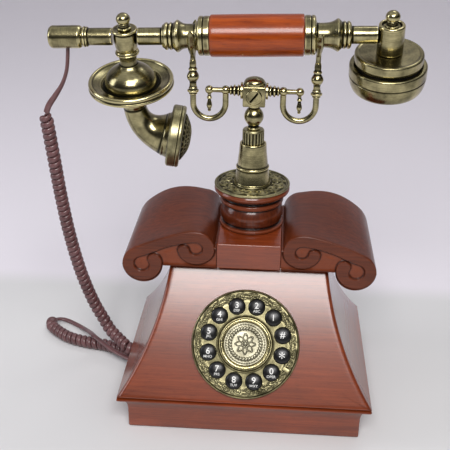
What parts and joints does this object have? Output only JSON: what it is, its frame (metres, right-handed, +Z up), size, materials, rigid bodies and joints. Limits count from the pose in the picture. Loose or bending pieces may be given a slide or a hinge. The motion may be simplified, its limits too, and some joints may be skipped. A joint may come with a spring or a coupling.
{
  "type": "french-style cradle phone",
  "caption": "Wooden desk telephone with scroll shoulders, a push-button dial, a brass forked cradle on a column, and a separate handset on a curly cord.",
  "frame": {"origin": "centre of the underside below the column axis, on the surface that the phone stands on", "axes": "+Z up along the column, +X along the handset towards its receiver, +Y to the back"},
  "size_m": [0.2857, 0.1409, 0.2818],
  "materials": {
    "mahogany": "gloss lacquer",
    "grip_wood": "gloss lacquer",
    "antique_brass": "antique satin",
    "black_keycap": "gloss",
    "black_plastic": "matte",
    "cord_vinyl": "satin",
    "circuit_board": "satin",
    "steel": "satin",
    "dark_rubber": "matte"
  },
  "bodies": {
    "base": {"cabinet": "mahogany", "front_panel": "mahogany", "plinth": "mahogany", "bottom_plate": "dark_rubber", "scroll_left": "mahogany", "scroll_right": "mahogany", "centre_block": "mahogany", "turned_collar": "mahogany", "rosette_plate": "antique_brass", "column": "antique_brass", "clamp_nut": "steel", "hook_switch": "black_plastic", "dial_plate": "antique_brass", "dial_badge": "antique_brass", "key_mat": "dark_rubber", "keypad_board": "circuit_board", "main_board": "circuit_board", "ringer": "black_plastic", "line_jack": "black_plastic", "cord_grommet": "black_plastic", "cord_lead": "cord_vinyl", "cord_curl": "cord_vinyl", "cord_tail": "cord_vinyl"},
    "cradle": {"fluted_sleeve": "antique_brass", "neck_ball": "antique_brass", "plunger_rod": "steel", "head_block": "antique_brass", "cradle_arm_left": "antique_brass", "cradle_arm_right": "antique_brass"},
    "handset": {"cord_cap": "antique_brass", "end_tube": "antique_brass", "arm_left": "antique_brass", "ferrule_left": "antique_brass", "grip": "grip_wood", "ferrule_right": "antique_brass", "arm_right": "antique_brass", "transmitter_hub": "antique_brass", "transmitter_finial": "antique_brass", "transmitter_dish": "antique_brass", "transmitter_bowl": "antique_brass", "horn": "antique_brass", "horn_ring": "antique_brass", "microphone_capsule": "black_plastic", "receiver_stem": "antique_brass", "receiver_finial": "antique_brass", "receiver_drum": "antique_brass", "receiver_cap": "antique_brass", "receiver_capsule": "black_plastic"},
    "button_hash": {"key_hash": "black_keycap"},
    "button_1": {"key_1": "black_keycap"},
    "button_2": {"key_2": "black_keycap"},
    "button_3": {"key_3": "black_keycap"},
    "button_4": {"key_4": "black_keycap"},
    "button_5": {"key_5": "black_keycap"},
    "button_6": {"key_6": "black_keycap"},
    "button_7": {"key_7": "black_keycap"},
    "button_8": {"key_8": "black_keycap"},
    "button_9": {"key_9": "black_keycap"},
    "button_0": {"key_0": "black_keycap"},
    "button_star": {"key_star": "black_keycap"}
  },
  "joints": [
    {"name": "handset_lift", "type": "slide", "parent": "base", "child": "handset", "axis": [0, 0, 1], "range_m": [0, 0.06]},
    {"name": "cradle_plunge", "type": "slide", "parent": "base", "child": "cradle", "axis": [0, 0, 1], "range_m": [0, 0.004]},
    {"name": "press_hash", "type": "slide", "parent": "base", "child": "button_hash", "axis": [0, 0.8353, -0.5498], "range_m": [0, 0.0012], "stiffness_N_per_m": 300},
    {"name": "press_1", "type": "slide", "parent": "base", "child": "button_1", "axis": [0, 0.8353, -0.5498], "range_m": [0, 0.0012], "stiffness_N_per_m": 300},
    {"name": "press_2", "type": "slide", "parent": "base", "child": "button_2", "axis": [0, 0.8353, -0.5498], "range_m": [0, 0.0012], "stiffness_N_per_m": 300},
    {"name": "press_3", "type": "slide", "parent": "base", "child": "button_3", "axis": [0, 0.8353, -0.5498], "range_m": [0, 0.0012], "stiffness_N_per_m": 300},
    {"name": "press_4", "type": "slide", "parent": "base", "child": "button_4", "axis": [0, 0.8353, -0.5498], "range_m": [0, 0.0012], "stiffness_N_per_m": 300},
    {"name": "press_5", "type": "slide", "parent": "base", "child": "button_5", "axis": [0, 0.8353, -0.5498], "range_m": [0, 0.0012], "stiffness_N_per_m": 300},
    {"name": "press_6", "type": "slide", "parent": "base", "child": "button_6", "axis": [0, 0.8353, -0.5498], "range_m": [0, 0.0012], "stiffness_N_per_m": 300},
    {"name": "press_7", "type": "slide", "parent": "base", "child": "button_7", "axis": [0, 0.8353, -0.5498], "range_m": [0, 0.0012], "stiffness_N_per_m": 300},
    {"name": "press_8", "type": "slide", "parent": "base", "child": "button_8", "axis": [0, 0.8353, -0.5498], "range_m": [0, 0.0012], "stiffness_N_per_m": 300},
    {"name": "press_9", "type": "slide", "parent": "base", "child": "button_9", "axis": [0, 0.8353, -0.5498], "range_m": [0, 0.0012], "stiffness_N_per_m": 300},
    {"name": "press_0", "type": "slide", "parent": "base", "child": "button_0", "axis": [0, 0.8353, -0.5498], "range_m": [0, 0.0012], "stiffness_N_per_m": 300},
    {"name": "press_star", "type": "slide", "parent": "base", "child": "button_star", "axis": [0, 0.8353, -0.5498], "range_m": [0, 0.0012], "stiffness_N_per_m": 300}
  ],
  "couplings": [
    {"joint": "cradle_plunge", "follows": "handset_lift", "ratio": 0.06}
  ]
}
